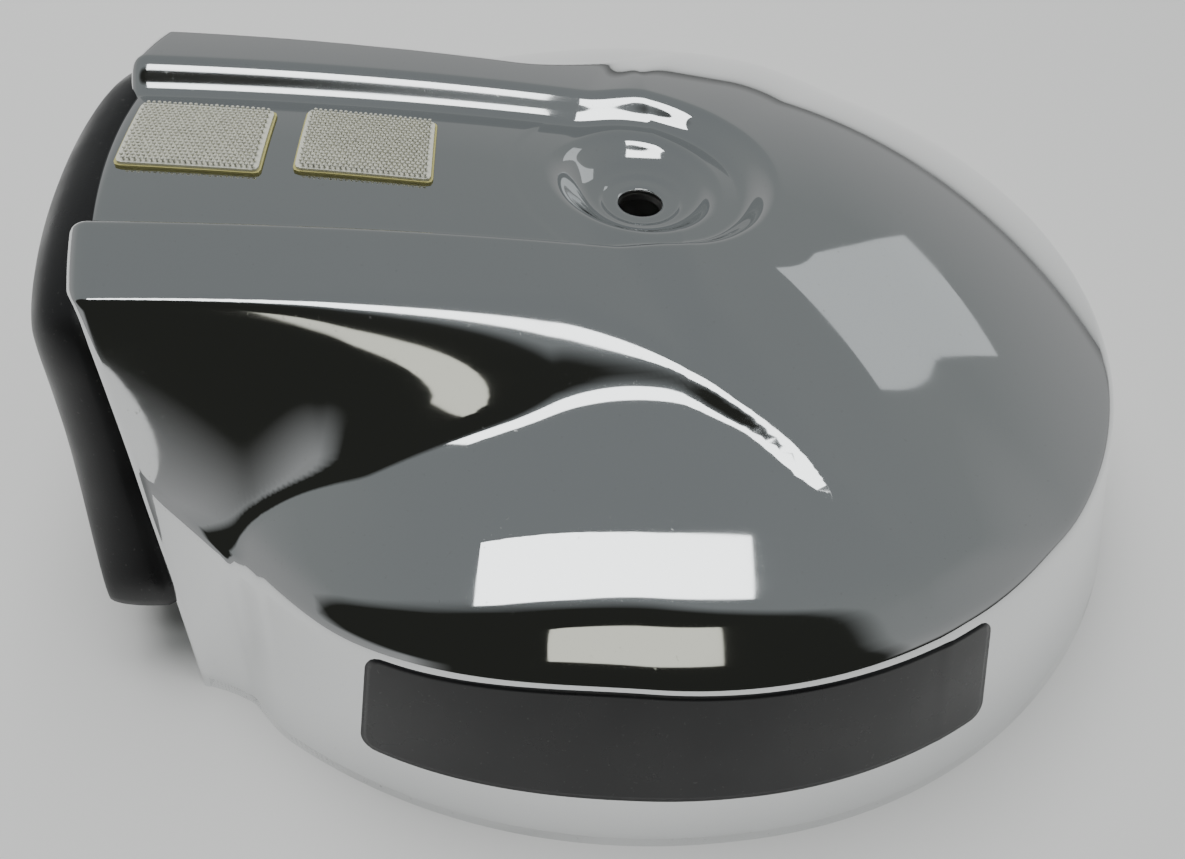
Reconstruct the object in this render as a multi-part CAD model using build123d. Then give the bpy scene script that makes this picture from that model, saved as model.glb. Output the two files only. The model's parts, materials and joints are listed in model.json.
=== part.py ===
"""Chromed pressed-steel air cleaner cover of a motorcycle, taken off and standing on its rim.

Millimetres, +X away from the squared front end, +Z up, symmetric about the XZ plane.
The origin is the centre of the overall box, on the plane of the rim.
"""
import os
from math import cos, radians, sin, sqrt

from build123d import *

os.makedirs("parts", exist_ok=True)

# ---- pressed shell -------------------------------------------------------
SHEET = 1.6                 # thickness of the pressed steel
BODY_R = 99.0               # outside radius of the round body at the rim
BODY_X = 3.5                # axis of the round body
SKIRT_H = 31.0              # rim to the tight crease
SKIRT_INSET = 11.5          # draft of the skirt, measured at the crease
FLANK_RISE = 7.0            # crease to the edge of the dome
FLANK_INSET = 8.5
DOME_TOP = 57.0             # crown of the dome
# ---- raised bar ----------------------------------------------------------
FRONT_X = -92.5             # front lip, on the centre line
FRONT_R = 240.0             # bow of the front lip seen from above
BAR_RIM_Y = 66.0            # half width of the squared end at the rim
BAR_CREASE_Y = 52.0         # half width at its crease
BAR_CREASE_Z = 26.0
BAR_TOP_Y = 39.5            # half width of the flat top
BAR_WALL_Z = 54.0           # foot of the upright upper wall
CROWN_Z = 68.55             # crown of the bar, at CROWN_X
CROWN_X = -126.4
LONG_R = 769.0              # fall of the bar along X
CROSS_R = 180.0             # crown of the bar across Y
FLARE_X = 6.0               # where the bar has run out into the dome
FLARE_Y = 55.0
# ---- channel and screw well ---------------------------------------------
CHANNEL_Y = 22.0            # half width of the channel
CHANNEL_DEPTH = 5.0
HOLE_X = -1.9
HOLE_R = 4.0
WELL_R = 16.0
WELL_FLOOR_R = 10.5
WELL_FLOOR_Z = 50.0         # outside of the well floor
# ---- front lip and moulded nose -----------------------------------------
LIP = 5.0
NOSE_FRONT = -102.5
NOSE_LOW = 13.0
NOSE_WALL = 2.6
NOSE_BOW_R = 240.0          # bow of the nose seen from above
NOSE_ROLL_R = 9.0           # roll of its top and bottom edges
NOSE_TOP = 63.0
GASKET = 1.2
# ---- badge fastening pads -----------------------------------------------
PAD_X = (-77.5, -49.9)      # centres of the two pads
PAD_Y = 4.0                 # both sit off the middle of the channel
PAD_L = 22.0
PAD_W = 18.5
PAD_TURN = -3.0
ADHESIVE = 0.4
PAD_BASE = 0.4
STEM = 0.8
# ---- decal ---------------------------------------------------------------
DECAL_Z = (9.5, 29.3)
DECAL_FROM = 234.5          # sweep on the skirt, degrees about the body axis
DECAL_SWEEP = 61.5
DECAL_T = 0.15
# ---- hidden fixings ------------------------------------------------------
TAB_T = 1.6
TAB_W = 16.0
TAB_ANGLES = (0.0, 118.0, 242.0)
TAB_Z = 12.0                # underside of the locating leg
TAB_REACH = 13.0
SEAL_T = 2.4
SEAL_Z = (0.8, 6.0)
EAR_X = -72.0               # fixing ears of the nose
EAR_Y = 36.0
EAR_Z = 22.0
EAR_T = 2.6
SCREW_R = 2.2
SCREW_CLEAR = 0.3
DOUBLER_R = 9.5
DOUBLER_T = 1.2


def box(x0, x1, y0, y1, z0, z1):
    """Plain block between two corners."""
    place = Pos((x0 + x1) / 2, (y0 + y1) / 2, (z0 + z1) / 2)
    return place * Box(x1 - x0, y1 - y0, z1 - z0)


def round_body(inset):
    """Round skirt, bevelled flank and dome, every face moved in by inset."""
    draft = SKIRT_INSET / SKIRT_H
    side = inset * sqrt(1 + draft * draft)
    low = 5.0 if inset else 0.0
    foot = BODY_R - side + low * draft
    crease_r = BODY_R - SKIRT_INSET - side * 0.9
    dome_r = BODY_R - SKIRT_INSET - FLANK_INSET - inset * 0.6
    dome_z = SKIRT_H + FLANK_RISE - inset * 0.85
    top = DOME_TOP - inset
    rise = top - dome_z
    arc_r = (dome_r * dome_r + rise * rise) / (2 * rise)
    mid_r = dome_r / 2
    mid_z = top - arc_r + sqrt(arc_r * arc_r - mid_r * mid_r)
    lines = Polyline((0, top), (0, -low), (foot, -low), (crease_r, SKIRT_H - inset * 0.3), (dome_r, dome_z))
    arc = ThreePointArc((dome_r, dome_z), (mid_r, mid_z), (0, top))
    face = make_face(Plane.XZ * (lines + arc))
    return Pos(BODY_X, 0, 0) * revolve(face, Axis.Z)


def crown(top, half, low=-30.0):
    """Block whose upper face is the crowned top of the bar, raised or sunk to top."""
    sag = CROSS_R - sqrt(CROSS_R * CROSS_R - half * half)
    lines = Polyline((half, top - sag), (half, low), (-half, low), (-half, top - sag))
    arc = ThreePointArc((-half, top - sag), (0, top), (half, top - sag))
    section = make_face(Plane((CROWN_X, 0, 0), x_dir=(0, 1, 0), z_dir=(1, 0, 0)) * (lines + arc))
    pivot = Axis((CROWN_X, 0, CROWN_Z - LONG_R), (0, 1, 0))
    return revolve(section, pivot, 13.0)


def bar_section(inset):
    """Half outline of the bar from the rim to above its top, as (y, z) points."""
    skirt = [(BAR_RIM_Y - inset * 1.1, 0.0)]
    if inset:
        skirt.insert(0, (BAR_RIM_Y - inset * 1.1, -5.0))
    return skirt + [
        (BAR_CREASE_Y - inset * 0.95, BAR_CREASE_Z),
        (BAR_CREASE_Y - 5.0 - inset * 0.95, BAR_CREASE_Z + 10.5),
        (BAR_TOP_Y + 2.0 - inset, BAR_WALL_Z - 7.0),
        (BAR_TOP_Y - inset, BAR_WALL_Z),
        (BAR_TOP_Y - inset, 80.0),
    ]


def bar_prism(inset, x0, x1):
    """Bar outline pulled along X, still without its crowned top."""
    half = bar_section(inset)
    ring = half + [(-y, z) for y, z in reversed(half)]
    plane = Plane((x0, 0, 0), x_dir=(0, 1, 0), z_dir=(1, 0, 0))
    return extrude(make_face(plane * Polyline(*ring, close=True)), x1 - x0)


def flare(inset):
    """Widening of the bar where its flanks run out over the dome."""
    y0 = BAR_TOP_Y - inset
    y1 = FLARE_Y - inset
    x0 = FLARE_X - 44.0
    side = Spline((x0, y0), (FLARE_X - 20, y0 + 3.5), (FLARE_X - 7, y0 + 9.5), (FLARE_X, y1),
                  tangents=((1, 0), (0.45, 1)))
    other = mirror(side, Plane.XZ)
    front = Line((x0, y0), (x0, -y0))
    back = Line((FLARE_X, y1), (FLARE_X, -y1))
    return Pos(0, 0, SKIRT_H) * extrude(make_face(side + other + front + back), 45.0)


def front_bow(inset, x_shift=0.0):
    """Space behind the bowed front edge."""
    centre = FRONT_X + inset + x_shift + FRONT_R
    return Pos(centre, 0, 40) * Cylinder(FRONT_R, 220)


def channel(inset):
    """Recess along the top of the bar with its round end, as the volume to take away."""
    y = CHANNEL_Y + inset
    plan = box(FRONT_X - 20, HOLE_X, -y, y, 0, 90) + Pos(HOLE_X, 0, 45) * Cylinder(y, 90)
    return plan - crown(CROWN_Z - CHANNEL_DEPTH - inset, 60)


def well(inset):
    """Deep round recess for the cover screw, as the volume to take away."""
    floor = WELL_FLOOR_Z - inset
    pts = [(0, 90), (0, floor), (WELL_FLOOR_R + inset * 0.6, floor),
           (WELL_R - 1.5 + inset * 0.8, WELL_FLOOR_Z + 2.0 - inset * 0.4),
           (WELL_R + inset, WELL_FLOOR_Z + 4.0), (WELL_R + inset, 90)]
    face = make_face(Plane.XZ * Polyline(*pts, close=True))
    return Pos(HOLE_X, 0, 0) * revolve(face, Axis.Z)


def form(inset):
    """Outside (inset 0) or inside of the pressing."""
    top = crown(CROWN_Z - inset, 75)
    bar = (bar_prism(inset, FRONT_X, BODY_X) + flare(inset)) & top & front_bow(inset)
    body = round_body(inset) & front_bow(inset)
    return body + bar - channel(inset) - well(inset)


def front_opening():
    """Mouth inside the turned-in lip, open down to the rim."""
    half = bar_section(SHEET + LIP)
    ring = half + [(-y, z) for y, z in reversed(half)]
    plane = Plane((FRONT_X - 15, 0, 0), x_dir=(0, 1, 0), z_dir=(1, 0, 0))
    prism = extrude(make_face(plane * Polyline(*ring, close=True)), 40.0)
    low_top = crown(CROWN_Z - CHANNEL_DEPTH - SHEET - LIP, 70)
    return prism & low_top


def cover_shell():
    shell = form(0) - form(SHEET) - front_opening()
    shell -= Pos(HOLE_X, 0, 45) * Cylinder(HOLE_R, 30)
    return shell



def mouth_plug(inset, x0, x1):
    """Prism with the outline of the front mouth, cut level with the crowned lip."""
    half = bar_section(inset)
    ring = half + [(-y, z) for y, z in reversed(half)]
    plane = Plane((x0, 0, 0), x_dir=(0, 1, 0), z_dir=(1, 0, 0))
    prism = extrude(make_face(plane * Polyline(*ring, close=True)), x1 - x0)
    above = box(x0 - 1, x1 + 1, -80, 80, NOSE_LOW, 90)
    return prism & above & crown(CROWN_Z - CHANNEL_DEPTH - inset, 70)


def nose_bulge(inset):
    """Rounded block standing in front of the lip."""
    raw = mouth_plug(0.4 + inset, NOSE_FRONT, FRONT_X + 14)
    bow = Pos(NOSE_FRONT + NOSE_BOW_R, 0, 40) * Cylinder(NOSE_BOW_R - inset, 100)
    x0, x1 = NOSE_FRONT + inset, FRONT_X + 15
    z0, z1 = NOSE_LOW + inset, NOSE_TOP - inset
    profile = Pos((x0 + x1) / 2, (z0 + z1) / 2) * Rectangle(x1 - x0, z1 - z0)
    corners = profile.vertices().sort_by(Axis.X)[:2]
    profile = fillet(corners, NOSE_ROLL_R - inset)
    side = extrude(Plane.XZ * profile, 90, both=True)
    return raw & bow & side


def intake_nose():
    """Hollow moulded nose with a rim that plugs the mouth and two fixing ears."""
    ahead = nose_bulge(0) - front_bow(0, -0.4)
    plug_in = SHEET + LIP + GASKET + 0.03
    plug = mouth_plug(plug_in, NOSE_FRONT + 4, FRONT_X + 13)
    nose = ahead + plug
    nose -= nose_bulge(NOSE_WALL) & mouth_plug(plug_in + NOSE_WALL, NOSE_FRONT, FRONT_X + 20)
    low = NOSE_LOW + NOSE_WALL
    nose -= box(NOSE_FRONT + 9, FRONT_X + 30, -30, 30, low, CROWN_Z - 16)
    nose -= box(FRONT_X + 1, FRONT_X + 9, -28, 28, NOSE_LOW - 1, low + 1)
    for side in (-1, 1):
        y0, y1 = sorted((side * (EAR_Y - 6), side * (EAR_Y + 8.6)))
        nose += box(FRONT_X + 9, EAR_X + 6, y0, y1, EAR_Z, EAR_Z + EAR_T)
        nose -= Pos(EAR_X, side * EAR_Y, EAR_Z) * Cylinder(SCREW_R + SCREW_CLEAR, 12)
    return nose


def nose_gasket():
    """Rubber strip between the turned-in lip and the nose, open at the bottom."""
    outer = mouth_plug(SHEET + LIP, FRONT_X - 2, FRONT_X + 10)
    inner = mouth_plug(SHEET + LIP + GASKET, FRONT_X - 5, FRONT_X + 12)
    return (outer - inner) & front_bow(0) & box(-120, 0, -80, 80, NOSE_LOW + 2, 90)


def nose_bracket(side):
    """Welded bracket that carries one ear of the nose."""
    skirt_y = sqrt(BODY_R ** 2 - (EAR_X - BODY_X) ** 2) + 2
    y0, y1 = sorted((side * (EAR_Y - 7), side * skirt_y))
    leg = box(EAR_X - 7, EAR_X + 7, y0, y1, EAR_Z - TAB_T, EAR_Z) & form(SHEET)
    wall = (form(SHEET) - form(SHEET + TAB_T)) & box(EAR_X - 7, EAR_X + 7, y0, y1, EAR_Z - 12, EAR_Z)
    wall = wall.solids().sort_by(Axis.Y)[-1 if side > 0 else 0]
    return leg + wall - Pos(EAR_X, side * EAR_Y, EAR_Z) * Cylinder(SCREW_R + SCREW_CLEAR, 12)


def nose_screws():
    """Two pan-head screws through the ears."""
    one = []
    for side in (-1, 1):
        head = Pos(EAR_X, side * EAR_Y, EAR_Z + EAR_T + 1.5) * Cylinder(4.4, 3.0)
        head = fillet(head.edges().sort_by(Axis.Z)[-1], 1.2)
        slot = Pos(EAR_X, side * EAR_Y, EAR_Z + EAR_T + 2.6) * (Box(5, 1, 2) + Box(1, 5, 2))
        shank = Pos(EAR_X, side * EAR_Y, EAR_Z + EAR_T - 6.5) * Cylinder(SCREW_R, 13)
        one.append(head - slot + shank)
    return Compound(children=one)


def nose_clip_nuts():
    """Two spring clip nuts under the brackets."""
    one = []
    for side in (-1, 1):
        top = EAR_Z - TAB_T
        plate = Pos(EAR_X, side * EAR_Y, top - 0.4) * Box(11, 11, 0.8)
        barrel = Pos(EAR_X, side * EAR_Y, top - 2.4) * Cylinder(3.6, 4.8)
        bore = Pos(EAR_X, side * EAR_Y, top) * Cylinder(SCREW_R + 0.05, 14)
        one.append(plate + barrel - bore)
    return Compound(children=one)


def well_doubler():
    """Steel ring spot-welded under the floor of the screw well."""
    z = WELL_FLOOR_Z - SHEET - DOUBLER_T / 2
    ring = Pos(HOLE_X, 0, z) * (Cylinder(DOUBLER_R, DOUBLER_T) - Cylinder(HOLE_R, DOUBLER_T * 2))
    return ring


def locating_tab(angle):
    """Angle tab welded inside the skirt, its leg reaching in."""
    about = Pos(BODY_X, 0, 0) * Rot(0, 0, angle)
    window = about * box(BODY_R - 35, BODY_R, -TAB_W / 2, TAB_W / 2, TAB_Z, TAB_Z + 14)
    skin = (round_body(SHEET) - round_body(SHEET + TAB_T)) & window
    edge = BODY_R - SKIRT_INSET * TAB_Z / SKIRT_H
    reach = about * box(edge - TAB_REACH, edge, -TAB_W / 2, TAB_W / 2, TAB_Z, TAB_Z + TAB_T)
    return skin + (reach & round_body(SHEET))


def tab_cap(angle):
    """Rubber cap pushed over the leg of a tab."""
    about = Pos(BODY_X, 0, 0) * Rot(0, 0, angle)
    edge = BODY_R - SKIRT_INSET * TAB_Z / SKIRT_H
    x0 = edge - TAB_REACH
    y = TAB_W / 2
    sleeve = box(x0 - 1.5, x0 + 7, -y - 1.5, y + 1.5, TAB_Z - 1.5, TAB_Z + TAB_T + 1.5)
    slot = box(x0, x0 + 9, -y, y, TAB_Z, TAB_Z + TAB_T)
    return about * (sleeve - slot)


def rim_seal():
    """Strip stuck inside the lower edge of the skirt, all round except at the mouth."""
    ring = round_body(SHEET) - round_body(SHEET + SEAL_T)
    keep = box(-62, 150, -120, 120, SEAL_Z[0], SEAL_Z[1])
    return ring & keep


def pad_layer(x, low, high):
    """Slice of a fastening pad between two heights above the channel floor."""
    floor = CROWN_Z - CHANNEL_DEPTH
    block = Pos(x, PAD_Y, 60) * Rot(0, 0, PAD_TURN) * Box(PAD_L, PAD_W, 40)
    return block & (crown(floor + high, 40) - crown(floor + low, 40))


def caution_decal():
    """Blank dark label on the skirt."""
    skin = round_body(-DECAL_T) - round_body(0)
    middle = DECAL_FROM + DECAL_SWEEP / 2
    half = DECAL_SWEEP / 2
    far = 160.0
    a0, a1 = radians(-half), radians(half)
    wedge = make_face(Polyline((0, 0), (far * cos(a0), far * sin(a0)), (far * 1.3, 0),
                               (far * cos(a1), far * sin(a1)), close=True))
    sector = Pos(BODY_X, 0, DECAL_Z[0]) * Rot(0, 0, middle) * extrude(wedge, DECAL_Z[1] - DECAL_Z[0])
    return skin & sector


def all_parts():
    """Every node of the assembly by name."""
    parts = {
        "cover_shell": cover_shell(),
        "intake_nose": intake_nose(),
        "nose_gasket": nose_gasket(),
        "nose_bracket_near": nose_bracket(-1),
        "nose_bracket_far": nose_bracket(1),
        "nose_screws": nose_screws(),
        "nose_clip_nuts": nose_clip_nuts(),
        "well_doubler": well_doubler(),
        "rim_seal": rim_seal(),
        "caution_decal": caution_decal(),
    }
    for number, angle in enumerate(TAB_ANGLES, 1):
        parts[f"locating_tab_{number}"] = locating_tab(angle)
        parts[f"tab_cap_{number}"] = tab_cap(angle)
    top = ADHESIVE + PAD_BASE
    for name, x in zip(("front", "rear"), PAD_X):
        parts[f"pad_adhesive_{name}"] = pad_layer(x, 0.0, ADHESIVE)
        parts[f"pad_base_{name}"] = pad_layer(x, ADHESIVE, top)
        parts[f"pad_stems_{name}"] = pad_layer(x, top, top + STEM)
    return parts


if __name__ == "__main__":
    for node, shape in all_parts().items():
        export_step(shape, f"parts/{node}.step")
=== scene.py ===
"""Looks of the chromed air cleaner cover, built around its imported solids."""

import logging
import math
from dataclasses import dataclass, field
from enum import Enum
from typing import Callable, Dict, List, Optional, Sequence, Tuple, Union

import bmesh
import bpy
import numpy as np
from mathutils import Matrix, Vector
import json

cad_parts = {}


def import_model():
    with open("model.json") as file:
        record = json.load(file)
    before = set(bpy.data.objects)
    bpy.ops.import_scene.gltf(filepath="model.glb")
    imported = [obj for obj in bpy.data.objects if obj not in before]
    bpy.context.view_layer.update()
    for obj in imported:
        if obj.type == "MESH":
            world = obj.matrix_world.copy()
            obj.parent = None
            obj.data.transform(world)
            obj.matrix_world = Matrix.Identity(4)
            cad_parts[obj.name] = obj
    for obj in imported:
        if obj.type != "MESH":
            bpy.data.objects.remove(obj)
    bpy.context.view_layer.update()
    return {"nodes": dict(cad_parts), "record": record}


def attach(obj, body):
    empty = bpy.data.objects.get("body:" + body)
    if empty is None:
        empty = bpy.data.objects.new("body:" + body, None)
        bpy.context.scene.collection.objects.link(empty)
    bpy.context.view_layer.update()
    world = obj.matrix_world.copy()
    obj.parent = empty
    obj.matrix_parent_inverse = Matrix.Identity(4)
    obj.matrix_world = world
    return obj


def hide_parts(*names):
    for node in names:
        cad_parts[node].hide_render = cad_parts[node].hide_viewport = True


log = logging.getLogger("air_cleaner_cover")
MM = 0.001
TINY = 1e-9
Grid = np.ndarray
Span = Tuple[float, float]
Color = Tuple[float, float, float]
Faces = List[Tuple[int, ...]]
Source = Union[float, Tuple[float, ...], bpy.types.NodeSocket]


def smooth_step(t: Grid) -> Grid:
    """Cubic ease from 0 to 1."""
    t = np.clip(t, 0.0, 1.0)
    return t * t * (3.0 - 2.0 * t)


def ease(value: Grid, start: float, end: float) -> Grid:
    """Cubic ease from 0 where value is start to 1 where it is end."""
    return smooth_step((value - start) / (end - start))


def past(value: Grid, start: float, end: float) -> Grid:
    """How far value has gone past start, counted no further than end."""
    return np.clip(value, start, end) - start


def soft_max(a: Grid, b: Grid, reach: float) -> Grid:
    """Larger of two surfaces with a rounded join.

    Args:
        a: First surface.
        b: Second surface.
        reach: Height difference over which they blend.

    Returns:
        The blended surface.
    """
    h = np.clip(0.5 + 0.5 * (a - b) / reach, 0.0, 1.0)
    return b * (1 - h) + a * h + reach * h * (1 - h)


def soft_min(a: Grid, b: Grid, reach: float) -> Grid:
    """Smaller of two surfaces with a rounded join."""
    return -soft_max(-a, -b, reach)


# --------------------------------------------------------------------------
# node helpers
# --------------------------------------------------------------------------
def feed(tree: bpy.types.NodeTree, target: bpy.types.NodeSocket, source: Source) -> None:
    """Link a socket to a target, or set the target's own value."""
    if isinstance(source, bpy.types.NodeSocket):
        tree.links.new(source, target)
    else:
        target.default_value = source


def maths(tree: bpy.types.NodeTree, operation: str, *sources: Source,
          clamp: bool = False) -> bpy.types.NodeSocket:
    """Result of a Math node.

    Args:
        tree: Tree that gets the node.
        operation: Name of the operation.
        sources: Its operands, as numbers or sockets.
        clamp: Keep the result between 0 and 1.

    Returns:
        The output socket.
    """
    node = tree.nodes.new("ShaderNodeMath")
    node.operation = operation
    node.use_clamp = clamp
    for target, source in zip(node.inputs, sources):
        feed(tree, target, source)
    return node.outputs[0]


def remap(tree: bpy.types.NodeTree, source: Source, start: float, end: float,
          to: Span = (0.0, 1.0)) -> bpy.types.NodeSocket:
    """Result of a clamped Map Range node.

    Args:
        tree: Tree that gets the node.
        source: What is mapped.
        start: Where the result is the first value of to.
        end: Where the result is the second value of to.
        to: The two ends of the result.

    Returns:
        The output socket.
    """
    node = tree.nodes.new("ShaderNodeMapRange")
    for name, value in (("From Min", start), ("From Max", end), ("To Min", to[0]), ("To Max", to[1])):
        node.inputs[name].default_value = value
    feed(tree, node.inputs["Value"], source)
    return node.outputs[0]


def noise(tree: bpy.types.NodeTree, place: bpy.types.NodeSocket, scale: Source,
          detail: float) -> bpy.types.NodeSocket:
    """Noise from 0 to 1.

    Args:
        tree: Tree that gets the node.
        place: Coordinates that it follows.
        scale: Cells per metre.
        detail: Number of finer layers.

    Returns:
        The output socket.
    """
    node = tree.nodes.new("ShaderNodeTexNoise")
    feed(tree, node.inputs["Vector"], place)
    feed(tree, node.inputs["Scale"], scale)
    feed(tree, node.inputs["Detail"], detail)
    return node.outputs["Fac"]


def blend(tree: bpy.types.NodeTree, share: Source, first: Source, second: Source) -> bpy.types.NodeSocket:
    """Colour between two others.

    Args:
        tree: Tree that gets the node.
        share: 0 for the first colour, 1 for the second.
        first: First colour.
        second: Second colour.

    Returns:
        The output socket.
    """
    node = tree.nodes.new("ShaderNodeMix")
    node.data_type = "RGBA"
    feed(tree, node.inputs["Factor"], share)
    feed(tree, node.inputs["A"], first)
    feed(tree, node.inputs["B"], second)
    return node.outputs["Result"]


# --------------------------------------------------------------------------
# finishes
# --------------------------------------------------------------------------
class Coating(Enum):
    """Named surface finishes of the object."""

    CHROME = "chrome_plate"
    MOULDING = "black_moulding"
    RUBBER = "black_rubber"
    PLAIN_STEEL = "plain_steel"
    ZINC = "zinc_steel"
    ADHESIVE = "pad_adhesive"
    PAD = "pad_plastic"
    LABEL = "label_black"


@dataclass(frozen=True)
class Finish:
    """One surface finish.

    Attributes:
        color: Base colour.
        metallic: Metal share.
        roughness: Middle roughness.
        rough_spread: How far the roughness wanders.
        grain_scale: Size of the fine grain, cells per metre.
        grain_height: Height of the grain in metres.
        wear: Amount of lighter, rubbed patches.
        dust: Amount of fine dust specks.
        stretch: How much longer the grain is along X than across.
        transmission: Share of light that passes through.
    """

    color: Color
    metallic: float
    roughness: float
    rough_spread: float
    grain_scale: float
    grain_height: float
    wear: float
    dust: float
    stretch: float = 1.0
    transmission: float = 0.0


FINISHES: Dict[Coating, Finish] = {
    Coating.CHROME: Finish(
        color=(0.80, 0.81, 0.815), metallic=1.0, roughness=0.045, rough_spread=0.035,
        grain_scale=420.0, grain_height=0.0000012, wear=0.12, dust=0.25, stretch=7.0),
    Coating.MOULDING: Finish(
        color=(0.012, 0.012, 0.0125), metallic=0.0, roughness=0.36, rough_spread=0.10,
        grain_scale=2600.0, grain_height=0.000016, wear=0.15, dust=0.06),
    Coating.RUBBER: Finish(
        color=(0.02, 0.02, 0.02), metallic=0.0, roughness=0.72, rough_spread=0.08,
        grain_scale=1500.0, grain_height=0.00003, wear=0.1, dust=0.3),
    Coating.PLAIN_STEEL: Finish(
        color=(0.45, 0.44, 0.43), metallic=1.0, roughness=0.38, rough_spread=0.12,
        grain_scale=700.0, grain_height=0.00001, wear=0.3, dust=0.2, stretch=5.0),
    Coating.ZINC: Finish(
        color=(0.60, 0.58, 0.52), metallic=1.0, roughness=0.30, rough_spread=0.12,
        grain_scale=600.0, grain_height=0.00001, wear=0.25, dust=0.1, stretch=2.0),
    Coating.ADHESIVE: Finish(
        color=(0.46, 0.43, 0.17), metallic=0.0, roughness=0.62, rough_spread=0.1,
        grain_scale=2500.0, grain_height=0.00004, wear=0.2, dust=0.1),
    Coating.PAD: Finish(
        color=(0.80, 0.80, 0.70), metallic=0.0, roughness=0.26, rough_spread=0.1,
        grain_scale=2200.0, grain_height=0.00001, wear=0.1, dust=0.1, transmission=0.2),
    Coating.LABEL: Finish(
        color=(0.010, 0.010, 0.011), metallic=0.0, roughness=0.30, rough_spread=0.08,
        grain_scale=1800.0, grain_height=0.000006, wear=0.1, dust=0.06),
}


@dataclass(frozen=True)
class SurfaceLife:
    """How use has marked every surface: rubbed patches, dust specks and clouds of roughness.

    Scales are in cells per metre, and each span gives the noise at which a mark starts and is full.
    """

    grain_detail: float = 4.0
    patch_scale: float = 38.0
    patch_detail: float = 5.0
    patch_span: Span = (0.52, 0.78)
    patch_gain: float = 1.12
    patch_lift: float = 0.02
    speck_scale: float = 1700.0
    speck_detail: float = 1.0
    speck_span: Span = (0.70, 0.80)
    speck_rough: float = 0.35
    speck_color: Color = (0.62, 0.61, 0.58)
    cloud_scale: float = 70.0
    cloud_detail: float = 6.0
    cloud_span: Span = (0.3, 0.7)


class FinishShop:
    """Makes the shared node group and the materials."""

    def __init__(self) -> None:
        """Build the shared group once, before any material."""
        self.life = SurfaceLife()
        self.surface_group = self._surface_group()
        self.made: Dict[Coating, bpy.types.Material] = {}

    def _surface_group(self) -> bpy.types.NodeTree:
        """Grain, rubbed patches and dust in one reusable group.

        Returns:
            A group with inputs for scale, stretch, wear and dust, and outputs
            grain (height), wear mask, dust mask and rough (-1 to 1).
        """
        life = self.life
        tree = bpy.data.node_groups.new("surface_life", "ShaderNodeTree")
        for name, value in (("Scale", 900.0), ("Stretch", 1.0), ("Wear", 0.2), ("Dust", 0.2)):
            socket = tree.interface.new_socket(name=name, in_out="INPUT", socket_type="NodeSocketFloat")
            socket.default_value = value
        for name in ("Grain", "Wear mask", "Dust mask", "Rough"):
            tree.interface.new_socket(name=name, in_out="OUTPUT", socket_type="NodeSocketFloat")
        given = tree.nodes.new("NodeGroupInput").outputs
        result = tree.nodes.new("NodeGroupOutput").inputs
        place = tree.nodes.new("ShaderNodeTexCoord").outputs["Object"]
        shrink = tree.nodes.new("ShaderNodeCombineXYZ")
        for target, source in zip(shrink.inputs, (maths(tree, "DIVIDE", 1.0, given["Stretch"]), 1.0, 1.0)):
            feed(tree, target, source)
        drawn = tree.nodes.new("ShaderNodeVectorMath")
        drawn.operation = "MULTIPLY"
        feed(tree, drawn.inputs[0], place)
        feed(tree, drawn.inputs[1], shrink.outputs[0])
        along = drawn.outputs[0]
        patch = remap(tree, noise(tree, place, life.patch_scale, life.patch_detail), *life.patch_span)
        speck = remap(tree, noise(tree, place, life.speck_scale, life.speck_detail), *life.speck_span)
        cloud = noise(tree, along, life.cloud_scale, life.cloud_detail)
        feed(tree, result["Grain"], noise(tree, along, given["Scale"], life.grain_detail))
        feed(tree, result["Wear mask"], maths(tree, "MULTIPLY", patch, given["Wear"]))
        feed(tree, result["Dust mask"], maths(tree, "MULTIPLY", speck, given["Dust"]))
        feed(tree, result["Rough"], remap(tree, cloud, *life.cloud_span, to=(-1.0, 1.0)))
        return tree

    def get(self, coating: Coating) -> bpy.types.Material:
        """Material of a coating, made on first use."""
        if coating not in self.made:
            self.made[coating] = self._make(coating.value, FINISHES[coating])
        return self.made[coating]

    def _make(self, name: str, finish: Finish) -> bpy.types.Material:
        """Build one material from its finish.

        Args:
            name: Material name.
            finish: The finish.

        Returns:
            A node material with a Principled shader.
        """
        life = self.life
        material = bpy.data.materials.new(name)
        material.use_nodes = True
        tree = material.node_tree
        shader = tree.nodes["Principled BSDF"].inputs
        shader["Metallic"].default_value = finish.metallic
        shader["Transmission Weight"].default_value = finish.transmission
        marks = tree.nodes.new("ShaderNodeGroup")
        marks.node_tree = self.surface_group
        for label, value in (("Scale", finish.grain_scale), ("Stretch", finish.stretch),
                             ("Wear", finish.wear), ("Dust", finish.dust)):
            marks.inputs[label].default_value = value
        rubbed = tuple(min(1.0, c * life.patch_gain + life.patch_lift) for c in finish.color)
        base = blend(tree, marks.outputs["Wear mask"], (*finish.color, 1.0), (*rubbed, 1.0))
        base = blend(tree, marks.outputs["Dust mask"], base, (*life.speck_color, 1.0))
        feed(tree, shader["Base Color"], base)
        rough = maths(tree, "MULTIPLY_ADD", marks.outputs["Rough"], finish.rough_spread, finish.roughness)
        dusty = maths(tree, "MULTIPLY_ADD", marks.outputs["Dust mask"], life.speck_rough, rough, clamp=True)
        feed(tree, shader["Roughness"], dusty)
        bump = tree.nodes.new("ShaderNodeBump")
        bump.inputs["Strength"].default_value = 1.0
        bump.inputs["Distance"].default_value = finish.grain_height
        feed(tree, bump.inputs["Height"], marks.outputs["Grain"])
        feed(tree, shader["Normal"], bump.outputs["Normal"])
        return material


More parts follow.
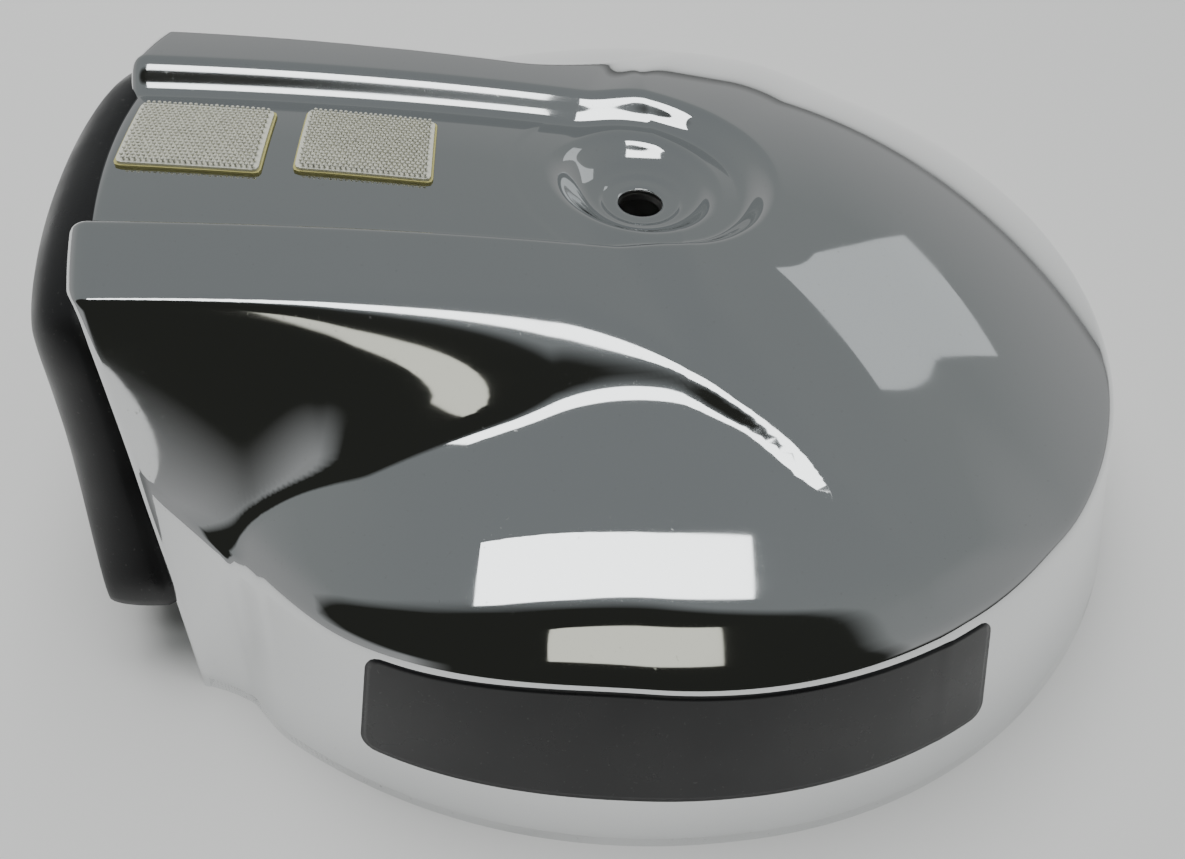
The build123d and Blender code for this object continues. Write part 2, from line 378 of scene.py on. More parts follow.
# --------------------------------------------------------------------------
# mesh helpers
# --------------------------------------------------------------------------
def mesh_object(name: str, verts: Grid, faces: Sequence[Sequence[int]], material: bpy.types.Material,
                merge: float = 0.0, smooth: bool = True) -> bpy.types.Object:
    """Object from vertices in millimetres.

    Args:
        name: Object name.
        verts: N x 3 vertices in mm.
        faces: Vertex indices of each face.
        material: Finish of the piece.
        merge: Distance in mm under which doubles are merged.
        smooth: Whether its faces are smooth shaded.

    Returns:
        The linked object.
    """
    mesh = bpy.data.meshes.new(name)
    mesh.from_pydata((np.asarray(verts, float) * MM).tolist(), [], [list(map(int, f)) for f in faces])
    mesh.update()
    if merge:
        bm = bmesh.new()
        bm.from_mesh(mesh)
        bmesh.ops.remove_doubles(bm, verts=bm.verts, dist=merge * MM)
        bmesh.ops.dissolve_degenerate(bm, edges=bm.edges, dist=1e-7)
        bm.to_mesh(mesh)
        bm.free()
    mesh.polygons.foreach_set("use_smooth", [smooth] * len(mesh.polygons))
    mesh.materials.append(material)
    obj = bpy.data.objects.new(name, mesh)
    bpy.context.scene.collection.objects.link(obj)
    return obj


def grid_faces(rows: int, cols: int, start: int = 0, flip: bool = False, wrap: bool = False) -> Faces:
    """Quads of a rows x cols lattice, stored row by row.

    Args:
        rows: Number of rows.
        cols: Number of columns.
        start: Index of its first vertex.
        flip: Turn the winding round.
        wrap: Join the last column to the first.

    Returns:
        The quads.
    """
    out = []
    for r in range(rows - 1):
        low, high = start + r * cols, start + (r + 1) * cols
        for c in range(cols if wrap else cols - 1):
            d = (c + 1) % cols
            quad = (low + c, low + d, high + d, high + c)
            out.append(quad[::-1] if flip else quad)
    return out


def sheet_faces(rows: int, cols: int, flip: bool) -> Faces:
    """Faces of a closed sheet made of two equal lattices, one after the other, and the band between.

    Args:
        rows: Number of rows in each.
        cols: Number of columns in each.
        flip: Turn the winding round.

    Returns:
        The quads.
    """
    count = rows * cols
    index = np.arange(count).reshape(rows, cols)
    loop = np.concatenate([index[:, 0], index[-1, 1:], index[-2::-1, -1], index[0, -2:0:-1]])
    band = [(p, p + count, q + count, q) for p, q in zip(loop, np.roll(loop, -1))]
    faces = grid_faces(rows, cols, flip=flip) + grid_faces(rows, cols, count, flip=not flip)
    return faces + [quad[::-1] if flip else quad for quad in band]


def rounded_lattice(rows: int, cols: int, length: float, width: float, corner: float) -> Tuple[Grid, Grid]:
    """Lattice over a rectangle with rounded corners, centred on 0.

    Args:
        rows: Number of points along it.
        cols: Number of points across it.
        length: Its length.
        width: Its width.
        corner: Radius of its corners.

    Returns:
        Places along and across it, each rows x cols.
    """
    u, v = np.meshgrid(np.linspace(-1, 1, rows), np.linspace(-1, 1, cols), indexing="ij")
    u, v = u * (length / 2), v * (width / 2)
    over_u = np.clip(np.abs(u) - (length / 2 - corner), 0, corner)
    over_v = np.clip(np.abs(v) - (width / 2 - corner), 0, corner)
    far = np.hypot(over_u, over_v)
    share = np.where(far > TINY, np.maximum(over_u, over_v) / np.maximum(far, TINY), 1.0)
    u = np.sign(u) * (np.abs(u) - over_u + over_u * share)
    v = np.sign(v) * (np.abs(v) - over_v + over_v * share)
    return u, v


def turn_outwards(obj: bpy.types.Object) -> None:
    """Make faces point outwards, as the highest one shows.

    Args:
        obj: A closed piece, or an open sheet seen from above.
    """
    bm = bmesh.new()
    bm.from_mesh(obj.data)
    bmesh.ops.recalc_face_normals(bm, faces=bm.faces)
    highest = max(bm.faces, key=lambda f: f.calc_center_median().z)
    if highest.normal.z < 0:
        bmesh.ops.reverse_faces(bm, faces=bm.faces)
    bm.to_mesh(obj.data)
    bm.free()


def bake_modifiers(obj: bpy.types.Object) -> None:
    """Turn an object's evaluated modifiers into plain mesh and remove them."""
    bpy.context.view_layer.update()
    evaluated = obj.evaluated_get(bpy.context.evaluated_depsgraph_get())
    mesh = bpy.data.meshes.new_from_object(evaluated)
    obj.modifiers.clear()
    obj.data = mesh


# --------------------------------------------------------------------------
# the pressing
# --------------------------------------------------------------------------
@dataclass
class CoverForm:
    """Outside form of the pressing, in millimetres, the same on both sides of Y = 0.

    A turn is an angle about the body axis in degrees, 0 at the round end and 180 at the front. A span is
    the two values between which a change takes place, and a span named ahead counts along -X.
    """

    # round body, its rim and its crease, which both swell towards the squared front
    body_x: float = 3.5
    rim_r: float = 98.7
    rim_swell: float = 5.0
    rim_swell_turns: Span = (90.0, 138.0)
    rim_swell_full: float = 44.0
    rim_swell_power: float = 1.5
    crease_r: float = 87.3
    crease_swell: float = 7.5
    crease_swell_turns: Span = (100.0, 132.0)
    crease_z: float = 31.0
    crease_dip: float = 5.0
    crease_dip_ahead: Span = (42.0, 85.0)
    # dome and the bevelled flank round its edge
    dome_top: float = 57.0
    flank_share: float = 0.082
    flank_slope: float = 1.25
    flank_turns: Span = (47.0, 66.0)
    flank_fade: float = 0.55
    flank_fade_turns: Span = (100.0, 130.0)
    kink_soft: float = 0.008
    # crowned bar
    crown_z: float = 68.55
    crown_x: float = -126.4
    long_r: float = 769.0
    cross_r: float = 180.0
    top_y: float = 38.6
    top_flare: float = 14.0
    top_flare_x: Span = (-22.0, 38.0)
    top_flare_full: float = 27.0
    foot_y: float = 58.2
    foot_x: float = -41.0
    foot_slope: float = 0.07
    foot_tuck: float = 8.0
    foot_tuck_ahead: Span = (57.0, 117.0)
    foot_tuck_full: float = 29.0
    foot_least: float = 2.0
    edge_power: float = 1.6
    # scalloped wall beside the bar
    wall_lift: float = 2.8
    wall_sink: float = 1.2
    wall_ahead: Span = (50.0, 70.0)
    wall_power: float = 1.6
    wall_inner_rise: float = 1.6
    wall_beyond_fall: float = 30.0
    wall_soft: float = 8.0
    bar_fade: float = 0.25
    bar_fade_x: Span = (2.0, 82.0)
    join_soft: float = 1.5
    join_softer: float = 8.0
    join_x: float = -10.0
    join_y: float = 35.0
    join_slant: float = 0.5
    join_length: float = 16.0
    # front edge and rim of the squared front
    front_x: float = -92.5
    front_bow: float = 480.0
    bow_length: float = 26.0
    rim_y: float = 67.8
    # screw hole, channel and well
    hole_x: float = -1.9
    hole_r: float = 4.0
    channel_depth: float = 5.0
    channel_wall: Span = (17.6, 24.4)
    ring_depth: float = 0.12
    ring_length: float = 4.0
    ring_outside: Span = (23.2, 24.4)
    ring_inside: Span = (18.6, 19.8)
    well_z: float = 50.0
    well_floor_r: float = 10.4
    well_slope: float = 1.02
    well_knee: float = 1.1
    well_step: float = 0.45
    well_step_r: Span = (6.6, 7.9)
    well_soft: float = 1.7
    # rounds of settling, and where they start
    outline_rounds: int = 12
    outline_guess: Span = (60.0, 90.0)
    skirt_rounds: int = 14
    skirt_guess: float = 93.0

    def crown(self, x: Grid, y: Grid) -> Grid:
        """Height of the bar's crowned top."""
        return self.crown_z - y * y / (2 * self.cross_r) - (x - self.crown_x) ** 2 / (2 * self.long_r)

    def turn(self, x: Grid, y: Grid) -> Grid:
        """Turn of a point about the body axis."""
        return np.degrees(np.arctan2(np.abs(y), x - self.body_x))

    def rim_radius(self, turn: Grid) -> Grid:
        """Radius of the rim at a turn."""
        swell = past(turn, *self.rim_swell_turns) / self.rim_swell_full
        return self.rim_r + self.rim_swell * swell ** self.rim_swell_power

    def crease_radius(self, turn: Grid) -> Grid:
        """Radius of the crease at a turn."""
        return self.crease_r + self.crease_swell * ease(turn, *self.crease_swell_turns)

    def crease_level(self, x: Grid) -> Grid:
        """Height of the tight crease, lower towards the front."""
        return self.crease_z - self.crease_dip * ease(-x, *self.crease_dip_ahead)

    def dome(self, x: Grid, y: Grid) -> Grid:
        """Height of the dome, which kinks down into the flank near the crease.

        Args:
            x: Place along X.
            y: Place along Y.

        Returns:
            Height in mm.
        """
        turn = self.turn(x, y)
        rho = np.hypot(x - self.body_x, y) / self.crease_radius(turn)
        fade = 1 - self.flank_fade * ease(turn, *self.flank_fade_turns)
        share = self.flank_share * ease(turn, *self.flank_turns) * fade
        fall = 1.0 - self.flank_slope * share
        soft = self.kink_soft
        kink = soft * np.logaddexp(0.0, (rho - 1.0 + share) / soft)
        kink_end = soft * np.logaddexp(0.0, share / soft)
        height = 1.0 - fall * rho * rho - (1.0 - fall) * kink / kink_end
        base = self.crease_level(x)
        return base + (self.dome_top - base) * height

    def bar_edge(self, x: Grid) -> Grid:
        """Half width of the bar's top, which runs out sideways over the dome."""
        flare = past(x, *self.top_flare_x) / self.top_flare_full
        return self.top_y + self.top_flare * flare ** self.edge_power

    def bar_foot(self, x: Grid) -> Grid:
        """Half width at the foot of the scalloped wall."""
        tuck = past(-x, *self.foot_tuck_ahead) / self.foot_tuck_full
        foot = self.foot_y - self.foot_slope * (x - self.foot_x) - self.foot_tuck * tuck ** self.edge_power
        return np.maximum(foot, self.bar_edge(x) + self.foot_least)

    def wall(self, x: Grid, y: Grid) -> Grid:
        """Height of the scalloped wall that cuts the bar off sideways.

        Args:
            x: Place along X.
            y: Place along Y.

        Returns:
            Height in mm.
        """
        edge, foot = self.bar_edge(x), self.bar_foot(x)
        w = (np.abs(y) - edge) / (foot - edge)
        top = self.crown(x, edge) + self.wall_lift
        front = ease(-x, *self.wall_ahead)
        base = (self.dome(x, foot) - self.wall_sink) * (1 - front) + self.crease_level(x) * front
        drop = top - base
        curve = 1.0 - (1.0 - np.clip(w, 0, 1)) ** self.wall_power
        inner = np.maximum(-w, 0.0) * drop * self.wall_inner_rise
        beyond = np.maximum(w - 1.0, 0.0) * self.wall_beyond_fall
        return top - drop * curve + inner - beyond

    def surface(self, x: Grid, y: Grid) -> Grid:
        """Height of the whole top with its channel, but without the well.

        Args:
            x: Place along X.
            y: Place along Y.

        Returns:
            Height in mm.
        """
        ay = np.abs(y)
        bar = soft_min(self.crown(x, y), self.wall(x, y), self.wall_soft)
        bar = bar - self.bar_fade * past(x, *self.bar_fade_x)
        along = (x - self.join_x - (ay - self.join_y) * self.join_slant) / self.join_length
        z = soft_max(self.dome(x, y), bar, self.join_soft + self.join_softer * smooth_step(along))
        r = np.hypot(x - self.hole_x, y)
        d = np.where(x < self.hole_x, ay, r)
        z = z - self.channel_depth * (1 - ease(d, *self.channel_wall))
        ring = (1 - ease(r, *self.ring_outside)) * (1 - ease(d, *self.ring_inside))
        return z - self.ring_depth * ring * (x < self.hole_x + self.ring_length)

    def bow(self, x: Grid, y: Grid) -> Grid:
        """How far the bowed front moves a point back along X."""
        return ease(self.front_x + self.bow_length - x, 0.0, self.bow_length) * y * y / self.front_bow

    def well_height(self, r: Grid, level: Grid) -> Grid:
        """Height of the screw well at radius r, where the channel floor is at level."""
        ramp = self.well_knee * self.well_slope * np.logaddexp(0.0, (r - self.well_floor_r) / self.well_knee)
        floor = self.well_z - self.well_step + self.well_step * ease(r, *self.well_step_r)
        return soft_min(level, floor + ramp, self.well_soft)

    def half_width(self, x: Grid, radius: Callable[[Grid], Grid], snout: Optional[Grid] = None,
                   soft: float = 1.0) -> Grid:
        """Half width of an outline at a station along X.

        Args:
            x: Station.
            radius: Radius of the round part by turn.
            snout: Half width of the squared end there, if it has one.
            soft: How softly the two meet.

        Returns:
            Half width in mm.
        """
        y = np.full_like(x, self.outline_guess[0])
        for _ in range(self.outline_rounds):
            r = radius(self.turn(x, y))
            y = np.sqrt(np.maximum(r * r - (x - self.body_x) ** 2, 1.0))
        return y if snout is None else soft_max(y, snout, soft)

    def reach(self, angle: Grid, radius: Callable[[Grid], Grid]) -> Grid:
        """Distance from the screw hole to an outline along a ray.

        Args:
            angle: Angle of the ray in radians.
            radius: Radius of the outline by turn.

        Returns:
            Distance in mm.
        """
        off = self.hole_x - self.body_x
        t = np.full_like(angle, self.outline_guess[1])
        for _ in range(self.outline_rounds):
            r = radius(self.turn(self.hole_x + t * np.cos(angle), t * np.sin(angle)))
            across = off * np.cos(angle)
            t = -across + np.sqrt(across * across - off * off + r * r)
        return t

    def skirt(self, angle: Grid, z: Grid) -> Grid:
        """Radius of the skirt about the body axis.

        Args:
            angle: Angle about the axis in radians.
            z: Height above the rim.

        Returns:
            Radius in mm.
        """
        r = np.full_like(angle, self.skirt_guess)
        for _ in range(self.skirt_rounds):
            x = self.body_x + r * np.cos(angle)
            y = np.abs(r * np.sin(angle))
            crease_y = self.half_width(x, self.crease_radius)
            rim_y = self.half_width(x, self.rim_radius)
            rise = z / self.surface(x, crease_y)
            straight = np.hypot(x - self.body_x, rim_y + (crease_y - rim_y) * rise)
            ray = np.arctan2(y, x - self.hole_x)
            crease = self.reach(ray, self.crease_radius)
            rim = self.reach(ray, self.rim_radius)
            rise = z / self.surface(self.hole_x + crease * np.cos(ray), crease * np.sin(ray))
            t = rim + (crease - rim) * rise
            round_end = np.hypot(self.hole_x + t * np.cos(ray) - self.body_x, t * np.sin(ray))
            r = np.where(x < self.hole_x, straight, round_end)
        return r


@dataclass
class CoverShell:
    """The chromed pressing as one smooth sheet with real thickness.

    The outside is laid in rows along the channel's middle line. They stand on straight stations from the
    front to the screw hole, and on rays about the hole round the other end.
    """

    form: CoverForm = field(default_factory=CoverForm)
    sheet: float = 1.0
    merge: float = 0.004
    # lattice
    stations: int = 104
    rays: int = 120
    inner_d: float = 18.4
    wall_rows: int = 22
    shoulder_rows: Tuple[float, ...] = (25.2, 26.5, 28.0, 30.0, 31.5, 33.0, 34.2)
    free_rows: int = 58
    skirt_rows: int = 12
    floor_rows: int = 24
    well_rows: int = 34
    # squared front: half widths of rim and crease at a station, and how they open backwards
    rim_x: float = -79.3
    rim_open: float = 0.3
    snout_x: float = -84.8
    snout_y: float = 51.5
    snout_open: float = 0.62
    snout_close: float = 3.0
    snout_close_x: Span = (-68.0, -28.0)
    snout_soft: float = 3.0
    crease_soft: float = 1.3
    # edge of the screw hole
    hole_steps: Tuple[float, ...] = (0.0, 0.25, 0.6)
    hole_margin: float = 1.2
    hole_dip: float = 0.35
    hole_soft: float = 0.3
    # rolled front edge, deep over the bar and slight down the sides
    roll: float = 3.0
    side_roll: float = 1.0
    side_reach: float = 1.4
    side_span: Span = (35.0, 40.0)
    roll_steps: int = 8
    lip: float = 3.0
    lip_steps: int = 2
    # direction of the roll, straight down over the channel and square to the sheet outside
    down_y: float = 26.0
    turning_y: Span = (30.0, 38.0)
    turning_soft: float = 5.0

    @property
    def start_x(self) -> float:
        """First straight station, where the front roll ends."""
        return self.form.front_x + self.roll

    def round_angles(self) -> Grid:
        """Angles of the rays from beside the screw hole to Y = 0 at the round end."""
        return np.linspace(math.pi / 2, 0, self.rays // 2 + 1)[1:]

    def top_at(self, x: Grid, y: Grid) -> Grid:
        """Points of the top over a plan position."""
        return np.stack([x, y, self.form.surface(x, y)], -1)

    def sweep(self, place: Callable[[Grid], Tuple[Grid, Grid]], crease: Grid, rim: Grid) -> Grid:
        """Outside of one family of stations, from the channel's wall to the rim.

        Args:
            place: Plan position at a distance from the middle line, for each station.
            crease: Distance of the crease at each station.
            rim: Distance of the rim at each station.

        Returns:
            Rows x stations x 3, on the side where Y is positive.
        """
        near = [*np.linspace(self.inner_d, self.form.channel_wall[1], self.wall_rows), *self.shoulder_rows]
        free = np.arange(1, self.free_rows + 1) / self.free_rows
        reach = crease - self.crease_soft - near[-1]
        levels = [np.full_like(crease, d) for d in near] + [near[-1] + reach * t for t in free]
        top = self.top_at(*place(np.stack(levels)))
        corner = self.top_at(*place(crease))
        rim_x, rim_y = place(rim)
        foot = np.stack([rim_x, rim_y, np.zeros_like(rim_x)], -1)
        slope = foot - corner
        after = corner + slope / np.linalg.norm(slope, axis=-1, keepdims=True) * self.crease_soft
        crease_rows = [(1 - t) ** 2 * top[-1] + 2 * t * (1 - t) * corner + t * t * after
                       for t in (0.25, 0.5, 0.75, 1.0)]
        skirt = [after + (foot - after) * (i / self.skirt_rows) for i in range(1, self.skirt_rows + 1)]
        return np.concatenate([top, np.stack(crease_rows + skirt)], 0)

    def straight_side(self) -> Grid:
        """Outside from the front to the screw hole.

        Returns:
            Rows x stations x 3.
        """
        f = self.form
        s = self.start_x + (f.hole_x - self.start_x) * np.linspace(0, 1, self.stations)
        rim = f.half_width(s, f.rim_radius, f.rim_y + self.rim_open * (s - self.rim_x), self.snout_soft)
        snout = self.snout_y + self.snout_open * (s - self.snout_x)
        snout = snout - self.snout_close * past(s, *self.snout_close_x)
        crease = f.half_width(s, f.crease_radius, snout, self.snout_soft)

        def place(distance: Grid) -> Tuple[Grid, Grid]:
            """Plan position at a distance from the middle line, on the bowed stations."""
            return s + f.bow(s, distance), distance

        return self.sweep(place, crease, rim)

    def round_side(self) -> Grid:
        """Outside from the screw hole round to Y = 0 at the round end.

        Returns:
            Rows x rays x 3.
        """
        f = self.form
        angle = self.round_angles()

        def place(distance: Grid) -> Tuple[Grid, Grid]:
            """Plan position at a distance from the screw hole, on the rays."""
            return f.hole_x + distance * np.cos(angle), distance * np.sin(angle)

        return self.sweep(place, f.reach(angle, f.crease_radius), f.reach(angle, f.rim_radius))

    def floor_patch(self) -> Grid:
        """Floor of the channel between the front and the well, for positive Y.

        Returns:
            Rows x stations x 3.
        """
        f = self.form
        psi = np.linspace(0, math.pi / 2, self.floor_rows + 1)
        t = np.linspace(0, 1, self.stations)[None]
        end = f.hole_x - self.inner_d * np.cos(psi)
        x = self.start_x + (end[:, None] - self.start_x) * t
        y = np.repeat((self.inner_d * np.sin(psi))[:, None], self.stations, 1)
        return self.top_at(x + f.bow(x, y) * (1 - t ** 4), y)

    def well_patch(self) -> Grid:
        """Screw well from the edge of its hole to the channel floor, for positive Y.

        Returns:
            Rings x rays x 3.
        """
        f = self.form
        psi = np.linspace(0, math.pi / 2, self.floor_rows + 1)
        around = np.concatenate([math.pi - psi, self.round_angles()])
        edge = [f.hole_r + step for step in self.hole_steps]
        radii = np.concatenate([edge, np.linspace(f.hole_r + self.hole_margin, self.inner_d, self.well_rows)])
        r, a = np.meshgrid(radii, around, indexing="ij")
        x, y = f.hole_x + r * np.cos(a), r * np.sin(a)
        dip = self.hole_dip * np.exp(-((r - f.hole_r) / self.hole_soft) ** 2)
        return np.stack([x, y, f.well_height(r, f.surface(x, y)) - dip], -1)

    def inward_field(self, edge: Grid) -> Grid:
        """Smooth inward direction along the front section.

        Args:
            edge: Points of the front station, from Y = 0 to the rim.

        Returns:
            Unit direction into the sheet at each point.
        """
        yz = edge[:, 1:]
        arc = np.concatenate([[0], np.cumsum(np.linalg.norm(np.diff(yz, axis=0), axis=1))])
        tangent = np.gradient(yz, arc + np.arange(len(arc)) * 1e-6, axis=0)
        normal = np.stack([tangent[:, 1], -tangent[:, 0]], 1)
        normal = normal / (np.linalg.norm(normal, axis=1, keepdims=True) + TINY)
        normal = np.where(normal[:, 0:1] > 0, -normal, normal)
        down = np.array([0.0, -1.0])
        turned = ease(yz[:, 0:1], *self.turning_y)
        mixed = down * (1 - turned) + normal * turned
        out = np.zeros_like(mixed)
        for i, here in enumerate(arc):
            weight = np.exp(-(((arc - here) / self.turning_soft) ** 2)) * np.gradient(arc)
            total = (mixed * weight[:, None]).sum(0)
            out[i] = total / np.linalg.norm(total)
        out[yz[:, 0] < self.down_y] = down
        return np.stack([np.zeros(len(out)), out[:, 0], out[:, 1]], 1)

    def front_roll(self, edge: Grid) -> Grid:
        """Rolled lip that closes the front end.

        Args:
            edge: Points of the front station, from Y = 0 to the rim.

        Returns:
            Columns x points x 3, starting at the edge itself.
        """
        inward = self.inward_field(edge)
        ahead = np.array([-1.0, 0.0, 0.0])
        flat = 1 - ease(edge[:, 1:2], *self.side_span)
        deep = self.side_roll + (self.roll - self.side_roll) * flat
        reach = self.side_reach + (self.roll - self.side_reach) * flat
        cols = [edge]
        for k in range(1, self.roll_steps + 1):
            a = math.radians(90.0 * k / self.roll_steps)
            cols.append(edge + ahead * reach * math.sin(a) + inward * deep * (1 - math.cos(a)))
        end = cols[-1]
        for k in range(1, self.lip_steps + 1):
            cols.append(end + inward * self.lip * k / self.lip_steps)
        return np.stack(cols)

    def build(self, shop: FinishShop) -> None:
        """Make the shell.

        Args:
            shop: Where the materials come from.
        """
        side = np.concatenate([self.straight_side(), self.round_side()], 1)
        floor, well = self.floor_patch(), self.well_patch()
        roll = self.front_roll(np.concatenate([floor[:, 0], side[1:, 0]], 0))
        verts: List[Grid] = []
        faces: Faces = []
        count = 0
        for sign in (1.0, -1.0):
            for patch in (side, floor, well, roll):
                rows, cols = patch.shape[:2]
                verts.append((patch * np.array([1.0, sign, 1.0])).reshape(-1, 3))
                faces += grid_faces(rows, cols, count, flip=sign > 0)
                count += rows * cols
        obj = mesh_object("chromed_shell", np.concatenate(verts), faces, shop.get(Coating.CHROME),
                          merge=self.merge)
        turn_outwards(obj)
        solid = obj.modifiers.new("sheet", "SOLIDIFY")
        solid.thickness = self.sheet * MM
        solid.offset = -1.0
        bake_modifiers(obj)
        self.trim_below_rim(obj.data)
        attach(obj, "root")
        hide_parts("cover_shell")
        log.info("chromed shell: %d faces", len(obj.data.polygons))

    @staticmethod
    def trim_below_rim(mesh: bpy.types.Mesh) -> None:
        """Bring every vertex under the rim's plane up to it.

        Args:
            mesh: Mesh of the shell.
        """
        places = np.zeros(len(mesh.vertices) * 3, np.float32)
        mesh.vertices.foreach_get("co", places)
        places = places.reshape(-1, 3)
        places[:, 2] = np.maximum(places[:, 2], 0.0)
        mesh.vertices.foreach_set("co", places.ravel())
        mesh.update()


# --------------------------------------------------------------------------
# nose, pads and label
# --------------------------------------------------------------------------
@dataclass
class IntakeNose:
    """Satin black moulding that closes the front mouth, in millimetres."""

    front: float = -101.0
    bow: float = 480.0
    depth: float = 9.0
    # right half of its widest section, as corners (Y, Z) that get rounded: top, side, foot
    top: Tuple[Span, ...] = ((0.0, 62.6), (16.0, 62.2), (28.0, 61.0), (35.5, 58.6))
    side: Tuple[Span, ...] = ((39.0, 54.0), (41.3, 47.5), (45.0, 39.0), (49.0, 31.5), (53.0, 24.5))
    foot: Tuple[Span, ...] = ((57.6, 17.0), (56.8, 12.6), (48.0, 12.2), (24.0, 12.2), (0.0, 12.2))
    cuts: int = 3
    around: int = 168
    # rings of the step behind the widest section: how far inwards and how far ahead
    step_rings: Tuple[Span, ...] = ((2.0, -6.0), (1.4, -6.0), (1.1, -2.0), (0.4, -1.0), (0.0, 0.0))
    # rolled edge, slight at the foot and full from the waist up
    roll: float = 9.0
    low_roll: float = 2.0
    roll_z: Span = (13.0, 43.0)
    roll_steps: int = 12
    middle_z: float = 37.0
    face_steps: int = 10

    def outline(self) -> Grid:
        """Closed section of the nose at its widest.

        Returns:
            around x 2 points (Y, Z).
        """
        right = np.array(self.top + self.side + self.foot)
        left = right[1:-1][::-1] * np.array([-1.0, 1.0])
        ring = np.concatenate([right, left])
        for _ in range(self.cuts):
            after = np.roll(ring, -1, 0)
            ring = np.stack([0.75 * ring + 0.25 * after, 0.25 * ring + 0.75 * after], 1).reshape(-1, 2)
        closed = np.concatenate([ring, ring[:1]])
        arc = np.concatenate([[0], np.cumsum(np.linalg.norm(np.diff(closed, axis=0), axis=1))])
        want = np.linspace(0, arc[-1], self.around, endpoint=False)
        return np.stack([np.interp(want, arc, closed[:, 0]), np.interp(want, arc, closed[:, 1])], 1)

    def ring(self, base: Grid, inset: float, ahead: float) -> Grid:
        """Section moved inwards and forwards.

        Args:
            base: Outline points.
            inset: Distance inwards in mm.
            ahead: Distance forwards of the widest section in mm.

        Returns:
            around x 3 points.
        """
        tangent = np.roll(base, -1, 0) - np.roll(base, 1, 0)
        tangent /= np.linalg.norm(tangent, axis=1, keepdims=True)
        inward = np.stack([tangent[:, 1], -tangent[:, 0]], 1)
        yz = base + inward * inset
        x = self.front + self.depth - ahead + yz[:, 0] ** 2 / self.bow
        return np.column_stack([x, yz])

    def rings(self) -> List[Grid]:
        """Rings from the hidden back, round the rolled edge and in over the bowed face.

        Returns:
            The rings in order, each around x 3.
        """
        base = self.outline()
        rings = [self.ring(base, inset, ahead) for inset, ahead in self.step_rings]
        deep = self.low_roll + (self.roll - self.low_roll) * ease(base[:, 1:2], *self.roll_z)
        for k in range(1, self.roll_steps + 1):
            a = math.radians(90 * k / self.roll_steps)
            rings.append(self.ring(base, deep * (1 - math.cos(a)), self.depth * math.sin(a)))
        edge, middle = rings[-1], self.middle()
        for k in range(1, self.face_steps):
            ring = middle + (edge - middle) * (1 - k / self.face_steps)
            ring[:, 0] = self.front + ring[:, 1] ** 2 / self.bow
            rings.append(ring)
        return rings

    def middle(self) -> Grid:
        """Foremost point of the face."""
        return np.array([self.front, 0.0, self.middle_z])

    def build(self, shop: FinishShop) -> None:
        """Make the nose as a closed moulding.

        Args:
            shop: Where the materials come from.
        """
        rings = self.rings()
        verts = np.concatenate([*rings, self.middle()[None]])
        n, tip = self.around, len(verts) - 1
        last = (len(rings) - 1) * n
        faces = grid_faces(len(rings), n, wrap=True, flip=True)
        faces += [(last + (i + 1) % n, tip, last + i) for i in range(n)]
        back = len(faces)
        faces.append(tuple(range(n)))
        obj = mesh_object("intake_nose_moulding", verts, faces, shop.get(Coating.MOULDING))
        obj.data.polygons[back].use_smooth = False
        turn_outwards(obj)
        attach(obj, "root")
        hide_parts("intake_nose")
        log.info("nose: %d faces", len(obj.data.polygons))


@dataclass(frozen=True)
class StemForm:
    """One mushroom-headed stem, in millimetres, and how unlike its neighbours it is."""

    radius: float = 0.17
    head_radius: float = 0.36
    height_share: float = 0.9
    middle_share: float = 0.34
    head_share: float = 0.42
    head_squash: float = 0.62
    sides: int = 6
    tilt: float = 0.16
    full_turn: float = 6.28
    sizes: Span = (0.88, 1.06)


